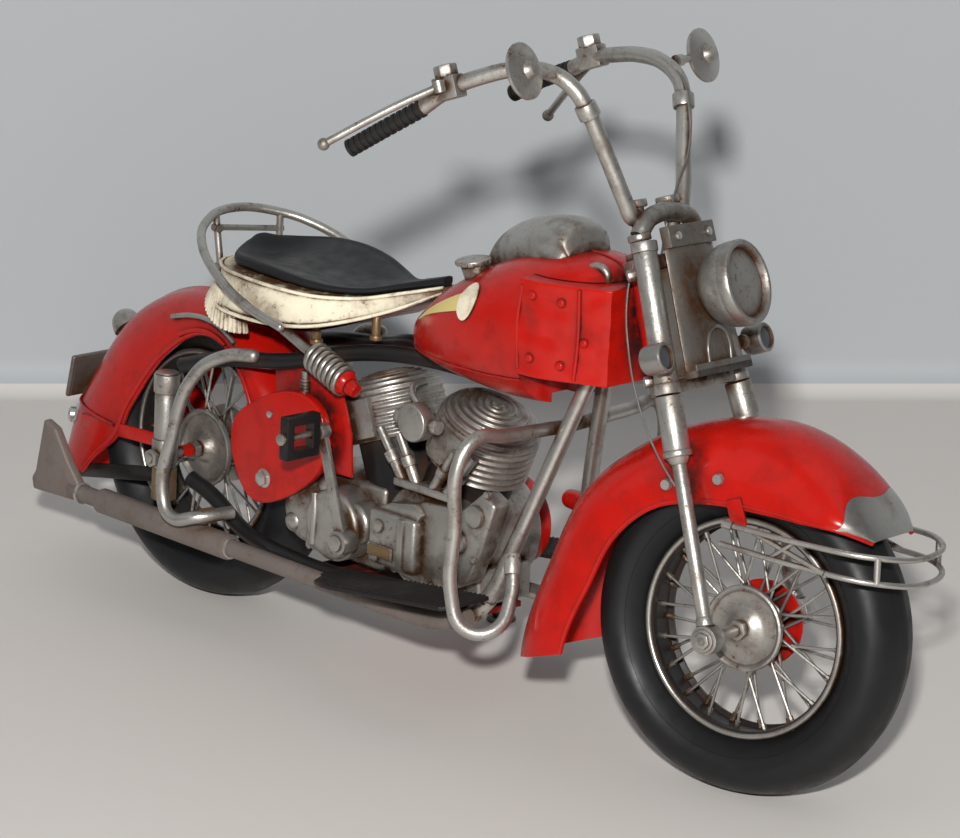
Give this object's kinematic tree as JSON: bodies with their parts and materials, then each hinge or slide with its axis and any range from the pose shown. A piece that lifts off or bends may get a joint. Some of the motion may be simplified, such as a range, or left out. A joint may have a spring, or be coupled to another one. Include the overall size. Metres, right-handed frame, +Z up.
{
  "type": "tinplate display motorcycle",
  "caption": "Red tinplate touring motorcycle with V-twin engine, wire wheels, plunger rear end, sprung cream saddle, high bars, crash bars and a side stand; it leans on the stand.",
  "frame": {"origin": "middle of the bottom of the box round the whole motorcycle, on the plane it stands on", "axes": "+X forward along the motorcycle, +Y to the rider's left, the side it leans to, and +Z up; it rests on both tyres and the side stand, leaning 3.9 degrees to the left with the front wheel turned 13 degrees left"},
  "size_m": [0.3682, 0.1386, 0.2268],
  "materials": {
    "red_paint": "glossy, worn to dark in the folds",
    "silver_paint": "satin, brown stains at the joints",
    "black_paint": "gloss",
    "cream_paint": "satin, brown grime at the edges",
    "grey_paint": "satin",
    "dull_metal": "dull",
    "brown_metal": "dull, tarnished",
    "tyre": "satin rubber"
  },
  "bodies": {
    "frame": {"upper_frame_tubes": "black_paint", "lower_frame_tubes": "black_paint", "downtube_right": "silver_paint", "downtube_left": "silver_paint", "neck_cover": "red_paint", "fuel_tank": "red_paint", "dash": "silver_paint", "filler_cap": "silver_paint", "seat_pan": "cream_paint", "seat_cushion": "black_paint", "seat_post_rear": "brown_metal", "seat_post_front": "brown_metal", "seat_spring": "silver_paint", "grab_rail": "silver_paint", "rear_fender": "red_paint", "tail_lamp": "silver_paint", "number_plate": "grey_paint", "plunger_right": "silver_paint", "plunger_left": "silver_paint", "rear_axle": "silver_paint", "rear_bar_right": "silver_paint", "rear_bar_left": "silver_paint", "crankcase": "silver_paint", "cylinder_rear": "silver_paint", "cylinder_front": "silver_paint", "pushrod_tubes": "silver_paint", "air_cleaner": "silver_paint", "gearbox": "silver_paint", "side_cover": "red_paint", "primary_case": "red_paint", "horn": "red_paint", "crash_bar": "silver_paint", "footboard_right": "black_paint", "footboard_left": "black_paint", "exhaust": "dull_metal"},
    "steering": {"front_axle": "silver_paint", "fork_leg_right": "silver_paint", "fork_leg_left": "silver_paint", "fork_yoke": "silver_paint", "nacelle": "grey_paint", "headlamp": "silver_paint", "spot_lamp_right": "silver_paint", "spot_lamp_left": "silver_paint", "handlebar": "silver_paint", "mirror_right": "silver_paint", "mirror_left": "silver_paint", "front_fender": "red_paint", "bumper_rail": "silver_paint"},
    "front_wheel": {"front_tyre": "tyre", "front_rim": "silver_paint", "front_brake_disc_right": "silver_paint", "front_brake_disc_left": "red_paint"},
    "rear_wheel": {"rear_tyre": "tyre", "rear_rim": "silver_paint", "rear_brake_disc_right": "silver_paint"},
    "side_stand": {"side_stand": "silver_paint"},
    "kick_arm": {"kick_arm": "silver_paint"},
    "kick_pedal": {"kick_pedal": "black_paint"},
    "hand_lever_right": {"hand_lever_right": "silver_paint"},
    "hand_lever_left": {"hand_lever_left": "silver_paint"}
  },
  "joints": [
    {"name": "steering_turn", "type": "hinge", "parent": "frame", "child": "steering", "pos_m": [0.09556, 0.00176, 0.10286], "axis": [-0.3665, 0.0639, 0.9282], "range_deg": [-34, 8]},
    {"name": "front_wheel_spin", "type": "hinge", "parent": "steering", "child": "front_wheel", "pos_m": [0.12843, 0.0009, 0.05126], "axis": [-0.2085, 0.9666, -0.1489], "continuous": true},
    {"name": "rear_wheel_spin", "type": "hinge", "parent": "frame", "child": "rear_wheel", "pos_m": [-0.11289, -0.00178, 0.05155], "axis": [0, 0.9976, -0.0687], "continuous": true},
    {"name": "side_stand_fold", "type": "hinge", "parent": "frame", "child": "side_stand", "pos_m": [-0.03009, 0.02024, 0.0263], "axis": [0, 0.7494, 0.6621], "range_deg": [0, 90]},
    {"name": "kick_arm_swing", "type": "hinge", "parent": "frame", "child": "kick_arm", "pos_m": [-0.01909, -0.0316, 0.04792], "axis": [0, -0.9976, 0.0687], "range_deg": [0, 60]},
    {"name": "kick_pedal_turn", "type": "hinge", "parent": "kick_arm", "child": "kick_pedal", "pos_m": [-0.02809, -0.03119, 0.08297], "axis": [0, -0.9976, 0.0687], "continuous": true},
    {"name": "hand_lever_right_squeeze", "type": "hinge", "parent": "steering", "child": "hand_lever_right", "pos_m": [0.03816, -0.04301, 0.20889], "axis": [0.3665, -0.0639, -0.9282], "range_deg": [0, 8], "stiffness_Nm_per_rad": 0.05},
    {"name": "hand_lever_left_squeeze", "type": "hinge", "parent": "steering", "child": "hand_lever_left", "pos_m": [0.0165, 0.04839, 0.19999], "axis": [-0.3665, 0.0639, 0.9282], "range_deg": [0, 8], "stiffness_Nm_per_rad": 0.05}
  ]
}
